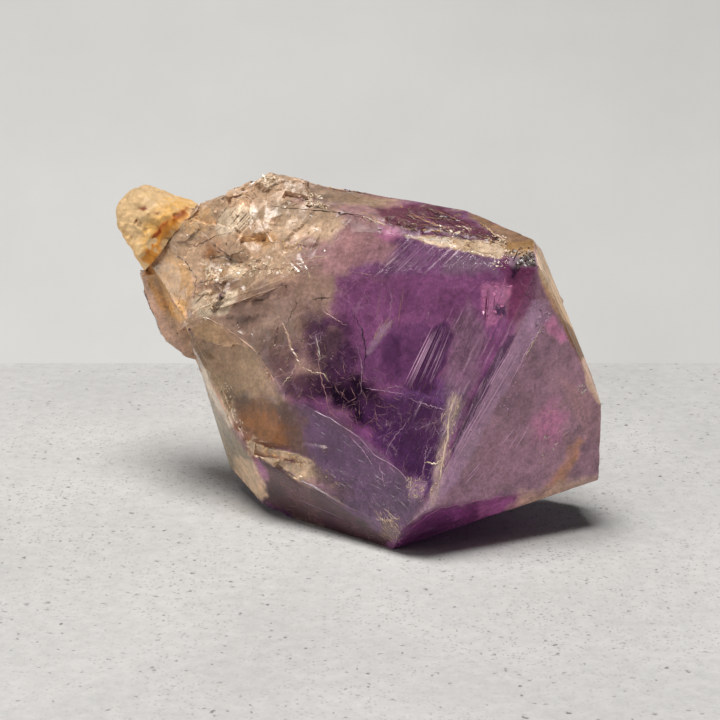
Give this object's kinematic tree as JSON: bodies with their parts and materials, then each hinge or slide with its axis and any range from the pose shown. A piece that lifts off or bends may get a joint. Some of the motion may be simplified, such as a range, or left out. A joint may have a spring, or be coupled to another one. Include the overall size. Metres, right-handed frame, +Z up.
{
  "type": "raw amethyst point",
  "caption": "Broken, faceted amethyst quartz point lying on its side, with a sharp front ridge, a rough root end and a nub of iron-stained matrix.",
  "frame": {"origin": "middle of the whole box in X and Y, at the height of the flat it rests on", "axes": "+X from the root end to the right end, along the longest side, +Z up as the crystal lies, and -Y towards its big clear face"},
  "size_m": [0.08, 0.0502, 0.0538],
  "materials": {
    "amethyst": "natural crystal faces and fracture, clear purple with smoky and hazy zones",
    "iron_stained_matrix": "rough waxy cream stone with rust specks"
  },
  "bodies": {
    "root": {"amethyst_crystal": "amethyst", "matrix_nub": "iron_stained_matrix"}
  },
  "joints": []
}
